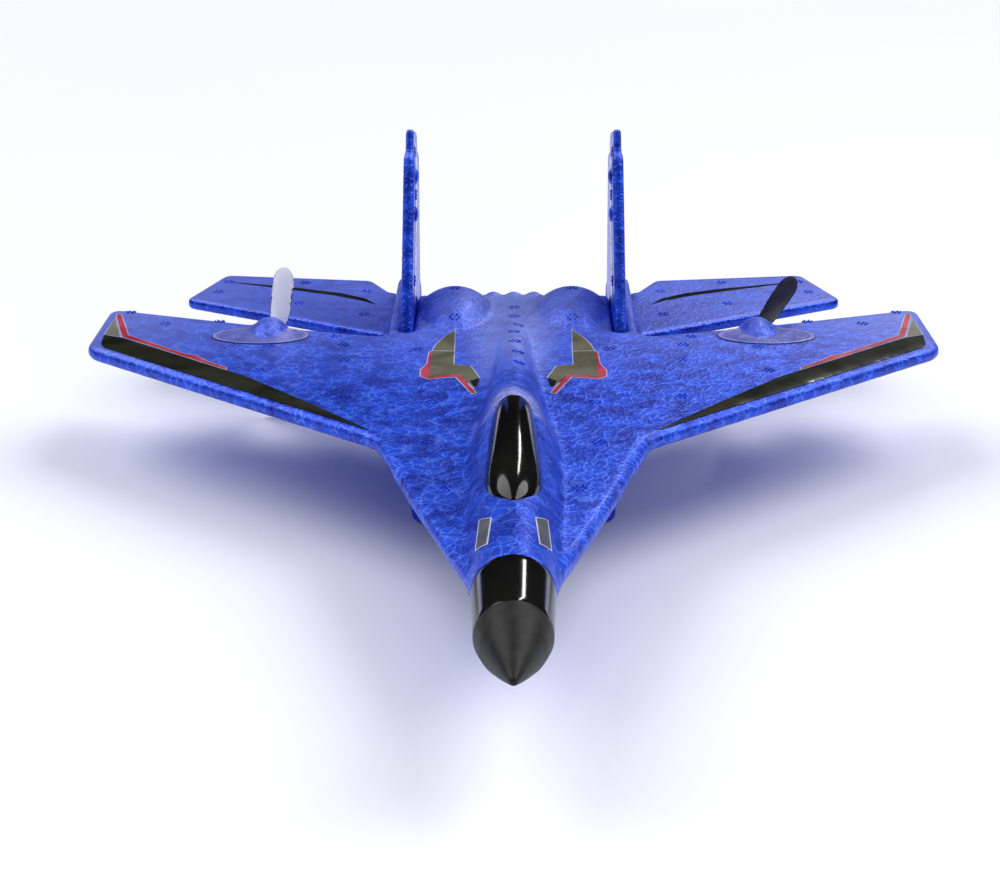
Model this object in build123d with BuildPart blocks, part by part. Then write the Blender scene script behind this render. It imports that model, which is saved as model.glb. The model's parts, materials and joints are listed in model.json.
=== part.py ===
from build123d import *
import os

# Foam jet aeroplane with two pusher propellers, standing on its two engine trunks.
# Millimetres: nose towards -Y, span along X, Z up from the ground. Right is +X.
# What comes in pairs is made on the right and mirrored to the left.

# Wing and strakes, one foam sheet
half_span = 137.5
wing_top = 37.0
wing_thickness = 5.0
wing_bottom = wing_top - wing_thickness   # the upper and lower foam are glued here
edge_round = 2.2
neck_y = -121.0
neck_half_width = 10.4
strake_mid = (22.9, -81.4)
kink = (39.0, -23.5)
kink_round = 12.0
leading_slope = 0.857                     # rearward for each millimetre outward
tip_round = 10.0
trailing_root_y = 73.0
inner_trailing_slope = 0.294
outer_trailing_slope = 0.363
corner_round = 3.2
spar_y = 45.0
spar_radius = 0.75
spar_length = 200.0

# Fuselage, in heights above the wing's top face
fuselage_axis_z = wing_top - 3.0
fuselage_radius = 10.2                    # at its front end, behind the nose
fuselage_front_y = -123.0
belly_z = wing_top - 25.0
side_height = -3.0
fuselage_stations = [
    # y, half width, shoulder (x, height), top, keel corner (x, height), keel
    (-100.0, 12.0, (8.0, 4.6), 7.5, (8.5, -17.0), -19.5),
    (-75.0, 13.4, (8.6, 4.9), 8.2, (11.8, -22.0), -25.6),
    (-50.0, 14.0, (8.4, 5.4), 9.6, (12.8, -23.6), -26.6),
    (-29.0, 13.0, (6.6, 9.0), 13.6, (12.8, -23.6), -26.6),
    (-8.0, 10.6, (5.4, 7.4), 10.2, (12.6, -22.6), -25.8),
    (14.0, 8.4, (4.6, 5.6), 7.4, (10.0, -14.6), -17.4),
    (40.0, 7.2, (3.7, 3.7), 5.0, (7.0, -9.0), -10.6),
    (72.0, 6.2, (2.9, 1.5), 2.3, (5.4, -7.6), -9.0),
    (94.0, 5.0, (2.2, -0.8), -0.2, (4.2, -6.8), -8.0),
]

# Nose
nose_tip_y = -168.5
nose_joint_y = -146.5
nose_joint_radius = 9.2
spigot_radius = 4.0
spigot_length = 7.0

# Canopy blister: half width, then heights of its top and of its rim
canopy_wall = 0.8
canopy_stations = [
    # y, half width, top
    (-90.0, 1.6, 7.6),
    (-86.5, 4.6, 9.4),
    (-76.0, 7.4, 12.2),
    (-60.0, 7.3, 14.3),
    (-44.0, 6.9, 15.0),
    (-29.0, 6.1, 14.4),
]
canopy_rim_height = 5.0

# Engine trunks under the wing and their humps on top
engine_x = 20.0
engine_axis_z = wing_top - 9.8
hump_profile = [
    # y, radius
    (76.0, 8.0), (80.0, 11.0), (86.0, 13.4), (96.0, 15.3), (107.0, 15.8), (114.0, 14.9), (119.0, 12.8),
]
trunk_stations = [
    # y, centre x, half width, height of the underside below the wing's top face, corner radius
    (-9.0, 21.0, 9.0, -36.0, 3.0),
    (12.0, 20.5, 10.4, -38.0, 3.4),
    (70.0, 20.0, 12.0, -38.0, 5.0),
    (102.0, 20.0, 12.4, -30.0, 8.0),
    (119.0, 20.0, 11.6, -22.0, 10.0),
]
intake_rake = 10.0                        # the upper lip stands this far ahead of the lower one
intake_lip_y = 1.0
intake_wall = 2.2
intake_depth = 9.0
nozzle_rear_y = 135.0
nozzle_front_radius = 11.0
nozzle_rear_radius = 7.2
nozzle_wall = 1.5
nozzle_depth = 9.0
centre_slab = 8.0
deck_rear_y = 122.0
tail_bump_radius = 3.0
tail_bump_pitch = 7.0

# Booms, fins and tailplanes
boom_inner_x = 33.0
boom_outer_x = 41.6
boom_front_y = 62.0
boom_rear_y = 146.0
boom_bottom = wing_top - 12.0
fin_x = 35.2
fin_thickness = 4.0
fin_root_y = 77.0
fin_root_chord = 62.0
fin_tip_y = 120.0
fin_tip_chord = 28.0
fin_top = 95.0
fin_seat_depth = wing_thickness
fin_cap_height = 7.0
fin_tip_fall = 6.0
fin_cap_step = 1.2
tailplane_top = wing_top - 6.0
tailplane_thickness = 4.0
tailplane_slope = 0.585
tailplane_tip_x = 117.0
tailplane_rear_y = 168.84
tailplane_tab = 5.0
tab_inset = 12.0

# Motors and propellers
motor_x = 80.5
motor_axis_z = wing_top - 9.75
motor_radius = 4.0
motor_length = 18.0
can_wall = 0.4
mount_wall = 1.0
mount_lip = 1.0
bushing_radius = 1.5
shaft_radius = 0.5
shaft_clearance = 0.03
coil_wall = 0.4
air_gap = 0.3
cap_thickness = 1.0
propeller_radius = 26.4
propeller_clearance = 0.8
blade_half_depth = 1.9
hub_radius = 2.2
hub_length = 5.4
left_propeller_angle = 9.0
right_propeller_angle = 31.0
patch_half_width = 16.0
patch_half_length = 9.0
patch_offset = 1.8
patch_thickness = 0.4

# Motor leads, pressed into a groove under the wing
lead_radius = 0.6
groove_radius = 0.8
lead_z = wing_bottom + 0.3

# Battery bay in the belly, with a lid hinged at its front
tray_half_width = 11.0
tray_front_y = -67.0
tray_rear_y = -21.0
tray_height = 10.2
tray_wall = 1.0
hinge_offset_y = 3.5
hinge_height = 1.6
knuckle_radius = 1.4
pin_radius = 0.6
pin_clearance = 0.06
ear_width = 1.8
ear_half_length = 1.6
lid_thickness = 1.2
lid_gap = 0.3
cell_length = 30.0
cell_half_width = 9.0
cell_height = 7.5
plug_half_width = 3.0
plug_height = 4.0
plug_length = 4.5
socket_length = 3.4
plug_z = belly_z + 5.0

# Receiver board and power switch
board_half_width = 8.8
board_length = 25.0
board_front_y = -11.5
board_thickness = 1.0
board_z = wing_bottom - 6.0
board_margin = 0.4
chip_height = 1.4
connector_height = 2.6
switch_y = -15.3
switch_half_width = 4.3
switch_half_length = 1.9
switch_height = 3.6
switch_recess = 0.6
switch_travel = 1.6
knob_half_length = 0.75
knob_width = 1.8
knob_gap = 0.15
knob_drop = 1.8
power_lead_radius = 0.7
antenna_x = 4.0
antenna_radius = 0.35
antenna_length = 48.0
channel_gap = 0.2

os.makedirs("parts", exist_ok=True)


def trailing_edge_y(x):
    inner = trailing_root_y + inner_trailing_slope * (min(x, motor_x) - boom_outer_x)
    return inner + outer_trailing_slope * max(0.0, x - motor_x)


def across(y):
    """Sketch plane across the aeroplane: sketch x is X and sketch y is Z."""
    return Plane.XZ.offset(-y)


# The propellers turn just behind the wing, and the tailplanes start just behind them
propeller_y = trailing_edge_y(motor_x + propeller_radius) + blade_half_depth + propeller_clearance
tailplane_front_y = propeller_y + blade_half_depth + propeller_clearance
motor_rear_y = propeller_y - 8.1
mount_front_y = motor_rear_y - motor_length - 0.5
mount_rear_y = motor_rear_y + mount_lip


def along_motor(radius, front_y, rear_y, mode=Mode.ADD):
    with Locations((motor_x, (front_y + rear_y) / 2, motor_axis_z)):
        Cylinder(radius, rear_y - front_y, rotation=(90, 0, 0), mode=mode)


def save(part, name):
    part.label = name
    export_step(part, f"parts/{name}.step")


def save_pair(right_part, name):
    """Write a right-hand piece and its mirror image on the left."""
    with BuildPart() as left:
        mirror(right_part, about=Plane.YZ)
    save(right_part, f"right_{name}")
    save(left.part, f"left_{name}")


# Foam shapes that the two airframe halves share ------------------------------------------

def fuselage_section(y, half_width, shoulder, top, keel_corner, keel):
    side = wing_top + side_height
    shoulder_z = wing_top + shoulder[1]
    corner_z = wing_top + keel_corner[1]
    right_side = [(shoulder[0], shoulder_z), (half_width, side), (keel_corner[0], corner_z)]
    left_side = [(-x, z) for x, z in reversed(right_side)]
    with BuildSketch(across(y)) as section:
        with BuildLine():
            Spline((0, wing_top + top), *right_side, (0, wing_top + keel), *left_side, periodic=True)
        make_face()
    return section.sketch


diagonal = fuselage_radius * 0.7071
front_station = (
    fuselage_front_y, fuselage_radius, (diagonal, diagonal + side_height), fuselage_radius + side_height,
    (diagonal, side_height - diagonal), side_height - fuselage_radius,
)
with BuildPart() as fuselage:
    loft([fuselage_section(*station) for station in [front_station] + fuselage_stations], ruled=True)

with BuildPart() as wing_sheet:
    with BuildSketch(Plane.XY.offset(wing_bottom)) as wing_plan:
        tip_front_y = kink[1] + leading_slope * (half_span - kink[0])
        with BuildLine():
            ThreePointArc((neck_half_width, neck_y), strake_mid, kink)
            Polyline(
                kink,
                (half_span, tip_front_y),
                (half_span, trailing_edge_y(half_span)),
                (motor_x, trailing_edge_y(motor_x)),
                (boom_outer_x, trailing_root_y),
                (boom_outer_x, boom_rear_y),
                (boom_inner_x, boom_rear_y),
                (boom_inner_x, deck_rear_y),
                (0, deck_rear_y),
                (0, neck_y),
                (neck_half_width, neck_y),
            )
        make_face()
        rounds = {kink: kink_round, (half_span, tip_front_y): tip_round}
        for corner in (
            (half_span, trailing_edge_y(half_span)), (boom_outer_x, trailing_root_y),
            (boom_outer_x, boom_rear_y), (boom_inner_x, boom_rear_y), (boom_inner_x, deck_rear_y),
        ):
            rounds[corner] = corner_round
        for (x, y), radius in rounds.items():
            fillet(wing_plan.vertices().sort_by_distance((x, y, 0))[0], radius)
        mirror(about=Plane.YZ)
    extrude(amount=wing_thickness)
    rims = wing_sheet.edges().group_by(Axis.Z)
    fillet(rims[0] + rims[-1], edge_round)

with BuildPart() as engine_humps:
    with BuildSketch(Plane.YZ.offset(engine_x)):
        with BuildLine():
            Spline([(y, engine_axis_z + radius) for y, radius in hump_profile])
            Polyline(
                (hump_profile[-1][0], engine_axis_z + hump_profile[-1][1]),
                (hump_profile[-1][0], engine_axis_z),
                (hump_profile[0][0], engine_axis_z),
                (hump_profile[0][0], engine_axis_z + hump_profile[0][1]),
            )
        make_face()
    revolve(axis=Axis((engine_x, 0, engine_axis_z), (0, 1, 0)))
    mirror(about=Plane.YZ)


def nozzle_face(y, radius):
    with BuildSketch(across(y)) as face:
        with Locations((engine_x, engine_axis_z)):
            RegularPolygon(radius, 8, major_radius=False, rotation=22.5)
    return face.sketch


hump_rear_y = hump_profile[-1][0]
with BuildPart() as nozzles:
    loft([nozzle_face(hump_rear_y - 1, nozzle_front_radius), nozzle_face(nozzle_rear_y, nozzle_rear_radius)])
    bore = nozzle_rear_radius - nozzle_wall
    loft(
        [nozzle_face(nozzle_rear_y - nozzle_depth, bore), nozzle_face(nozzle_rear_y + 1, bore)],
        mode=Mode.SUBTRACT,
    )
    mirror(about=Plane.YZ)


def pod_section(y, half_width, half_height, centre_z):
    with BuildSketch(across(y)) as section:
        with Locations((motor_x, centre_z)):
            Ellipse(half_width, half_height)
    return section.sketch


# A pod swells out of the wing's trailing edge round each motor
pod_rear_y = mount_rear_y + 2.0
with BuildPart() as right_pod:
    loft([
        pod_section(mount_front_y - 9.5, 1.8, 1.8, wing_bottom - 0.6),
        pod_section(mount_front_y - 1.8, 6.3, 7.6, motor_axis_z + 2.4),
        pod_section(mount_front_y + 9.5, 7.4, 9.7, motor_axis_z + 3.7),
        pod_section(pod_rear_y - 4.8, 7.0, 8.8, motor_axis_z + 2.8),
        pod_section(pod_rear_y, 6.1, 6.3, motor_axis_z + 0.6),
    ])

# Pieces that sit in the foam, made first because they cut their own seats in it -----------

nose_length = nose_joint_y - nose_tip_y
with BuildPart() as nose_cone:
    with BuildSketch(Plane.YZ):
        with BuildLine():
            Spline(
                (nose_tip_y, fuselage_axis_z),
                (nose_tip_y + nose_length * 0.05, fuselage_axis_z + nose_joint_radius * 0.14),
                (nose_tip_y + nose_length * 0.36, fuselage_axis_z + nose_joint_radius * 0.47),
                (nose_tip_y + nose_length * 0.68, fuselage_axis_z + nose_joint_radius * 0.78),
                (nose_joint_y, fuselage_axis_z + nose_joint_radius),
                tangents=[(0, 1), (1, 0.25)],
            )
            Polyline(
                (nose_joint_y, fuselage_axis_z + nose_joint_radius),
                (nose_joint_y, fuselage_axis_z + spigot_radius),
                (nose_joint_y - spigot_length, fuselage_axis_z + spigot_radius),
                (nose_joint_y - spigot_length, fuselage_axis_z),
                (nose_tip_y, fuselage_axis_z),
            )
        make_face()
    revolve(axis=Axis((0, 0, fuselage_axis_z), (0, 1, 0)))
save(nose_cone.part, "nose_cone")

with BuildPart() as nose_band:
    with BuildSketch(Plane.YZ):
        with BuildLine():
            Polyline(
                (nose_joint_y - spigot_length, fuselage_axis_z),
                (nose_joint_y - spigot_length, fuselage_axis_z + spigot_radius),
                (nose_joint_y, fuselage_axis_z + spigot_radius),
                (nose_joint_y, fuselage_axis_z + nose_joint_radius),
                (fuselage_front_y, fuselage_axis_z + fuselage_radius),
                (fuselage_front_y, fuselage_axis_z + spigot_radius),
                (fuselage_front_y + spigot_length, fuselage_axis_z + spigot_radius),
                (fuselage_front_y + spigot_length, fuselage_axis_z),
                close=True,
            )
        make_face()
    revolve(axis=Axis((0, 0, fuselage_axis_z), (0, 1, 0)))
save(nose_band.part, "nose_band")


def canopy_section(y, half_width, top, inset=0.0):
    rim = wing_top + canopy_rim_height
    with BuildSketch(across(y)) as section:
        with Locations((0, rim)):
            Ellipse(half_width - inset, wing_top + top - inset - rim)
    return section.sketch


with BuildPart() as canopy_block:
    loft([canopy_section(*station) for station in canopy_stations])
    split(bisect_by=Plane.XY.offset(wing_top + canopy_rim_height), keep=Keep.TOP)

with BuildPart() as canopy:
    add(canopy_block.part)
    loft([canopy_section(*station, inset=canopy_wall) for station in canopy_stations[1:-1]], mode=Mode.SUBTRACT)
save(canopy.part, "canopy")

with BuildPart() as wing_spar:
    with Locations((0, spar_y, wing_top - wing_thickness / 2)):
        Cylinder(spar_radius, spar_length, rotation=(0, 90, 0))
save(wing_spar.part, "wing_spar")

# Fins stand in slots over the booms, and each has a narrow cap on its tip
with BuildPart() as right_fin:
    seat_z = wing_top - fin_seat_depth
    cap_z = fin_top - fin_cap_height
    rear_z = cap_z - fin_tip_fall
    lean = (fin_tip_y - fin_root_y) / (fin_top - wing_top)
    rear_lean = (fin_tip_y + fin_tip_chord - fin_root_y - fin_root_chord) / (fin_top - wing_top)
    with BuildSketch(Plane.YZ.offset(fin_x - fin_thickness / 2)) as fin_side:
        with BuildLine():
            Polyline(
                (fin_root_y, seat_z),
                (fin_root_y, wing_top),
                (fin_root_y + lean * (cap_z - wing_top), cap_z),
                (fin_root_y + fin_root_chord + rear_lean * (rear_z - wing_top), rear_z),
                (fin_root_y + fin_root_chord, wing_top),
                (fin_root_y + fin_root_chord, seat_z),
                close=True,
            )
        make_face()
        fillet(fin_side.vertices().sort_by(Axis.Y)[-2:], corner_round)
    extrude(amount=fin_thickness)
    blade_edges = [
        edge for edge in right_fin.edges().filter_by(Axis.X, reverse=True)
        if edge.center().Z > wing_top + 1 and abs(edge.center().X - fin_x) > fin_thickness / 2 - 0.01
    ]
    fillet(blade_edges, fin_thickness * 0.36)
    cap_front_y = fin_root_y + lean * (cap_z - wing_top) + fin_cap_step
    cap_rear_y = fin_root_y + fin_root_chord + rear_lean * (rear_z - wing_top) - fin_cap_step
    with BuildSketch(Plane.YZ.offset(fin_x - fin_thickness * 0.35)) as cap_side:
        with BuildLine():
            Polyline(
                (cap_front_y, cap_z - 1.0),
                (cap_front_y + lean * fin_cap_height, fin_top),
                (cap_rear_y + rear_lean * fin_cap_height, fin_top - fin_tip_fall),
                (cap_rear_y, rear_z - 1.0),
                close=True,
            )
        make_face()
        fillet(cap_side.vertices().sort_by(Axis.Y)[-2:], fin_cap_step * 0.5)
    extrude(amount=fin_thickness * 0.7)
save_pair(right_fin.part, "fin")

# Tailplanes plug into the sides of the booms
tailplane_root_y = tailplane_front_y - tailplane_slope * (motor_x - propeller_radius - boom_outer_x)
with BuildPart() as right_tailplane:
    tip_y = tailplane_root_y + tailplane_slope * (tailplane_tip_x - boom_outer_x)
    with BuildSketch(Plane.XY.offset(tailplane_top - tailplane_thickness)) as tail_plan:
        with BuildLine():
            Polyline(
                (boom_outer_x, tailplane_root_y),
                (tailplane_tip_x, tip_y),
                (tailplane_tip_x - 10, tailplane_rear_y),
                (boom_outer_x + 10.4, tailplane_rear_y - 7.5),
                (boom_outer_x + 3.0, boom_rear_y),
                (boom_outer_x, boom_rear_y - 1.5),
                close=True,
            )
        make_face()
        outer_corners = tail_plan.vertices().sort_by(Axis.X)[-3:]
        fillet(outer_corners, corner_round)
    extrude(amount=tailplane_thickness)
    rims = [
        edge for edge in right_tailplane.edges().filter_by(Axis.Z, reverse=True)
        if edge.center().X > boom_outer_x + 0.1
    ]
    fillet(rims, tailplane_thickness * 0.36)
    tab_front = tailplane_root_y + tab_inset
    tab_rear = boom_rear_y - tab_inset
    with Locations((boom_outer_x - tailplane_tab / 2, (tab_front + tab_rear) / 2,
                    tailplane_top - tailplane_thickness / 2)):
        Box(tailplane_tab, tab_rear - tab_front, tailplane_thickness - 1.0)
save_pair(right_tailplane.part, "tailplane")

# Motors: can, magnet and bushing stand still; shaft, coil and propeller turn together ------

can_front_y = motor_rear_y - motor_length
with BuildPart() as right_motor_mount:
    along_motor(motor_radius + mount_wall, mount_front_y, mount_rear_y)
    along_motor(motor_radius, mount_front_y, motor_rear_y, Mode.SUBTRACT)
    along_motor(motor_radius - 1.4, motor_rear_y, mount_rear_y, Mode.SUBTRACT)
save_pair(right_motor_mount.part, "motor_mount")

with BuildPart() as right_motor_can:
    along_motor(motor_radius, can_front_y, motor_rear_y)
    along_motor(motor_radius - can_wall, can_front_y, motor_rear_y - can_wall, Mode.SUBTRACT)
    along_motor(bushing_radius, motor_rear_y - 1, motor_rear_y, Mode.SUBTRACT)
save_pair(right_motor_can.part, "motor_can")

coil_outer = motor_radius - can_wall - air_gap
coil_inner = coil_outer - coil_wall
coil_front_y = can_front_y + 2.7
bushing_front_y = coil_front_y + 1.4
magnet_rear_y = motor_rear_y - can_wall
with BuildPart() as right_motor_magnet:
    along_motor(coil_inner - air_gap, bushing_front_y + 0.4, magnet_rear_y)
    along_motor(bushing_radius, bushing_front_y, magnet_rear_y, Mode.SUBTRACT)
save_pair(right_motor_magnet.part, "motor_magnet")

with BuildPart() as right_motor_bushing:
    along_motor(bushing_radius, bushing_front_y, motor_rear_y + 0.7)
    along_motor(shaft_radius + shaft_clearance, bushing_front_y, motor_rear_y + 0.7, Mode.SUBTRACT)
save_pair(right_motor_bushing.part, "motor_bushing")

with BuildPart() as right_motor_coil:
    along_motor(coil_outer, coil_front_y, magnet_rear_y - 2 * air_gap)
    along_motor(coil_inner, coil_front_y + 1.0, magnet_rear_y - 2 * air_gap, Mode.SUBTRACT)
    along_motor(shaft_radius, coil_front_y, coil_front_y + 1.0, Mode.SUBTRACT)
save_pair(right_motor_coil.part, "motor_coil")

shaft_front_y = coil_front_y - 0.6
hub_rear_y = propeller_y + hub_length / 2
with BuildPart() as right_motor_shaft:
    along_motor(shaft_radius, shaft_front_y, hub_rear_y - 1.2)
save_pair(right_motor_shaft.part, "motor_shaft")

with BuildPart() as right_motor_cap:
    along_motor(motor_radius, can_front_y - cap_thickness, can_front_y)
    along_motor(motor_radius - can_wall, can_front_y, can_front_y + 1.3)
    along_motor(shaft_radius + 0.3, can_front_y + 0.5, can_front_y + 1.3, Mode.SUBTRACT)
save_pair(right_motor_cap.part, "motor_cap")

blade_stations = [
    # radius from the axis, chord, pitch angle, thickness
    (1.2, 3.6, 38.0, 1.8),
    (6.0, 5.6, 30.0, 1.3),
    (14.0, 7.6, 22.0, 1.1),
    (21.0, 7.4, 16.0, 0.9),
    (25.0, 5.0, 13.0, 0.8),
    (26.4, 1.8, 12.0, 0.6),
]


def blade_section(distance, chord, pitch, thickness):
    reach = distance / blade_stations[-1][0] * propeller_radius
    turned = Plane((0, 0, reach)).rotated((0, 0, pitch))
    with BuildSketch(turned) as section:
        with BuildLine():
            ThreePointArc((-chord / 2, 0), (0, -thickness / 2), (chord / 2, 0))
            ThreePointArc((chord / 2, 0), (0, thickness / 2), (-chord / 2, 0))
        make_face()
    return section.sketch


with BuildPart() as propeller_blank:
    blade = loft([blade_section(*station) for station in blade_stations])
    add(blade, rotation=(0, 180, 0))
    with BuildSketch(Plane.XY):
        with BuildLine():
            dome = CenterArc((0, hub_length / 2), hub_radius, 0, 90)
            Polyline(dome @ 0, (hub_radius, -hub_length / 2), (0, -hub_length / 2), dome @ 1)
        make_face()
    revolve(axis=Axis.Y)
    with Locations((0, -1.2, 0)):
        Cylinder(shaft_radius, hub_length, rotation=(90, 0, 0), mode=Mode.SUBTRACT)

with BuildPart() as right_propeller:
    with Locations((motor_x, propeller_y, motor_axis_z)):
        add(propeller_blank.part, rotation=(0, right_propeller_angle, 0))
save(right_propeller.part, "right_propeller")

with BuildPart() as mirrored_blank:
    mirror(propeller_blank.part, about=Plane.YZ)
with BuildPart() as left_propeller:
    with Locations((-motor_x, propeller_y, motor_axis_z)):
        add(mirrored_blank.part, rotation=(0, left_propeller_angle, 0))
save(left_propeller.part, "left_propeller")

# Clear oval patch glued on the wing ahead of each pod
with BuildPart() as right_motor_patch:
    with BuildSketch(Plane.XY.offset(wing_top)):
        with Locations((motor_x + patch_offset, mount_front_y + 1.5)):
            Ellipse(patch_half_width, patch_half_length)
    extrude(amount=patch_thickness)
    add(right_pod.part, mode=Mode.SUBTRACT)
save_pair(right_motor_patch.part, "motor_patch")

# Electronics, laid out along the centre line ----------------------------------------------

board_rear_y = board_front_y + board_length
board_top = board_z + board_thickness
connector_x = board_half_width - 2.6
connector_y = board_front_y + 16.0
with BuildPart() as receiver_board:
    with Locations((0, board_front_y + board_length / 2, board_z + board_thickness / 2)):
        Box(2 * board_half_width, board_length, board_thickness)
save(receiver_board.part, "receiver_board")

with BuildPart() as receiver_chips:
    with BuildSketch(Plane.XY.offset(board_top)):
        with Locations((0, board_front_y + 8.0)):
            Rectangle(6.0, 6.0)
        with Locations((0, board_front_y + 18.0)):
            Rectangle(4.0, 5.0)
        with Locations((-5.4, board_front_y + 5.0)):
            Rectangle(2.6, 1.6)
    extrude(amount=chip_height)
save(receiver_chips.part, "receiver_chips")

with BuildPart() as lead_connectors:
    with BuildSketch(Plane.XY.offset(board_top)):
        with Locations((connector_x, connector_y), (-connector_x, connector_y)):
            Rectangle(4.0, 5.0)
    extrude(amount=connector_height)
save(lead_connectors.part, "lead_connectors")

lead_route = [
    (motor_x, can_front_y - cap_thickness, motor_axis_z),
    (motor_x, mount_front_y - 8.0, motor_axis_z),
    (motor_x - 2.0, mount_front_y - 19.0, lead_z),
    (60.0, 30.0, lead_z),
    (34.0, 14.0, lead_z),
    (14.0, 7.6, lead_z),
    (connector_x + 4.4, connector_y, board_top + connector_height / 2),
    (connector_x + 2.0, connector_y, board_top + connector_height / 2),
]
lead_bends = [6.0, 8.0, 20.0, 20.0, 3.0, 1.2]


def along_route(route, bends, radius):
    """Round tube along straight runs joined by arcs."""
    with BuildPart() as tube:
        with BuildLine() as path:
            FilletPolyline(*route, radius=bends)
        with BuildSketch(Plane(origin=path.line @ 0, z_dir=path.line % 0)):
            Circle(radius)
        sweep(path=path.line)
    return tube.part


right_lead = along_route(lead_route, lead_bends, lead_radius)
save_pair(right_lead, "motor_lead")
right_groove = along_route(lead_route, lead_bends, groove_radius)

with BuildPart() as antenna_wire:
    with Locations((antenna_x, board_rear_y + antenna_length / 2, board_z + board_thickness / 2)):
        Cylinder(antenna_radius, antenna_length, rotation=(90, 0, 0))
save(antenna_wire.part, "antenna_wire")

# Battery tray: an open box set in the belly, mouth downwards
tray_ceiling = belly_z + tray_height - tray_wall
hinge_y = tray_front_y + hinge_offset_y
hinge_z = belly_z + hinge_height
inner_half_width = tray_half_width - tray_wall
knuckle_half_width = inner_half_width - ear_width - lid_gap
ear_x = inner_half_width - ear_width / 2


def tray_box(half_width, front_y, rear_y, top, mode=Mode.ADD):
    with Locations((0, (front_y + rear_y) / 2, (belly_z + top) / 2)):
        Box(2 * half_width, rear_y - front_y, top - belly_z, mode=mode)


with BuildPart() as battery_tray:
    tray_box(tray_half_width, tray_front_y, tray_rear_y, belly_z + tray_height)
    tray_box(inner_half_width, tray_front_y + tray_wall, tray_rear_y - tray_wall, tray_ceiling, Mode.SUBTRACT)
    ear_bottom = belly_z + 0.2
    with Locations(*[(side * ear_x, hinge_y, (ear_bottom + tray_ceiling) / 2) for side in (1, -1)]):
        Box(ear_width, 2 * ear_half_length, tray_ceiling - ear_bottom)
    with Locations((0, hinge_y, hinge_z)):
        Cylinder(pin_radius, 2 * inner_half_width, rotation=(0, 90, 0), mode=Mode.SUBTRACT)
    with Locations((0, tray_rear_y - tray_wall / 2, plug_z)):
        Box(2 * plug_half_width, tray_wall, plug_height, mode=Mode.SUBTRACT)
save(battery_tray.part, "battery_tray")

with BuildPart() as hatch_hinge_pin:
    with Locations((0, hinge_y, hinge_z)):
        Cylinder(pin_radius, 2 * inner_half_width, rotation=(0, 90, 0))
save(hatch_hinge_pin.part, "hatch_hinge_pin")

with BuildPart() as battery_hatch:
    lid_half_width = inner_half_width - lid_gap
    lid_rear_y = tray_rear_y - tray_wall - lid_gap
    lid_front_y = hinge_y + 2.6
    with Locations((0, (lid_front_y + lid_rear_y) / 2, belly_z + lid_thickness / 2)):
        Box(2 * lid_half_width, lid_rear_y - lid_front_y, lid_thickness)
    with Locations((0, (hinge_y + lid_front_y) / 2, belly_z + lid_thickness / 2)):
        Box(2 * knuckle_half_width, lid_front_y - hinge_y, lid_thickness)
    with Locations((0, hinge_y, hinge_z)):
        Cylinder(knuckle_radius, 2 * knuckle_half_width, rotation=(0, 90, 0))
        Cylinder(pin_radius + pin_clearance, 2 * inner_half_width, rotation=(0, 90, 0), mode=Mode.SUBTRACT)
    finger_edge_y = lid_rear_y - 5.0
    with Locations(*[(0, finger_edge_y - 1.6 * step, belly_z) for step in range(3)]):
        Box(8.0, 0.7, 0.8, mode=Mode.SUBTRACT)
save(battery_hatch.part, "battery_hatch")

socket_front_y = tray_rear_y - tray_wall - 1.0
plug_front_y = socket_front_y - plug_length
cell_rear_y = plug_front_y - 1.5
with BuildPart() as battery_cell:
    with Locations((0, cell_rear_y - cell_length / 2, tray_ceiling - cell_height / 2)):
        Box(2 * cell_half_width, cell_length, cell_height)
    fillet(battery_cell.edges().filter_by(Axis.Y), 1.2)
save(battery_cell.part, "battery_cell")

with BuildPart() as battery_plug:
    with Locations((0, (plug_front_y + socket_front_y) / 2, plug_z)):
        Box(2 * plug_half_width, plug_length, plug_height)
    with Locations((1.2, (cell_rear_y + plug_front_y) / 2, plug_z), (-1.2, (cell_rear_y + plug_front_y) / 2, plug_z)):
        Cylinder(0.5, plug_front_y - cell_rear_y, rotation=(90, 0, 0))
save(battery_plug.part, "battery_plug")

socket_rear_y = socket_front_y + socket_length
with BuildPart() as battery_socket:
    with Locations((0, (socket_front_y + socket_rear_y) / 2, plug_z)):
        Box(2 * plug_half_width, socket_length, plug_height)
save(battery_socket.part, "battery_socket")

power_route = [
    (0, socket_rear_y, plug_z),
    (0, socket_rear_y + 2.8, plug_z),
    (0, board_front_y - 2.6, board_z + board_thickness / 2),
    (0, board_front_y, board_z + board_thickness / 2),
]
power_bends = [1.6, 1.6]
power_lead = along_route(power_route, power_bends, power_lead_radius)
save(power_lead, "power_lead")
power_channel = along_route(power_route, power_bends, power_lead_radius + channel_gap)

# Slide switch: the knob runs in a slot of the switch body
switch_bottom = belly_z + switch_recess
slot_half_width = (knob_width + switch_travel) / 2 + knob_gap / 2
with BuildPart() as power_switch_body:
    with Locations((0, switch_y, switch_bottom + switch_height / 2)):
        Box(2 * switch_half_width, 2 * switch_half_length, switch_height)
    with Locations((0, switch_y, switch_bottom + 1.0)):
        Box(2 * slot_half_width, 2 * (knob_half_length + knob_gap), 2.0, mode=Mode.SUBTRACT)
save(power_switch_body.part, "power_switch_body")

with BuildPart() as power_switch_knob:
    knob_top = switch_bottom + 2.0 - knob_gap
    knob_bottom = switch_bottom - knob_drop
    with Locations((-switch_travel / 2, switch_y, (knob_top + knob_bottom) / 2)):
        Box(knob_width, 2 * knob_half_length, knob_top - knob_bottom)
    for step in (-0.45, 0.45):
        with Locations((-switch_travel / 2 + step, switch_y, knob_bottom)):
            Box(0.3, 2 * knob_half_length, 0.5, mode=Mode.SUBTRACT)
save(power_switch_knob.part, "power_switch_knob")

# Airframe foam: upper half with wing, booms and pods; lower half with belly and trunks ------

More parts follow.
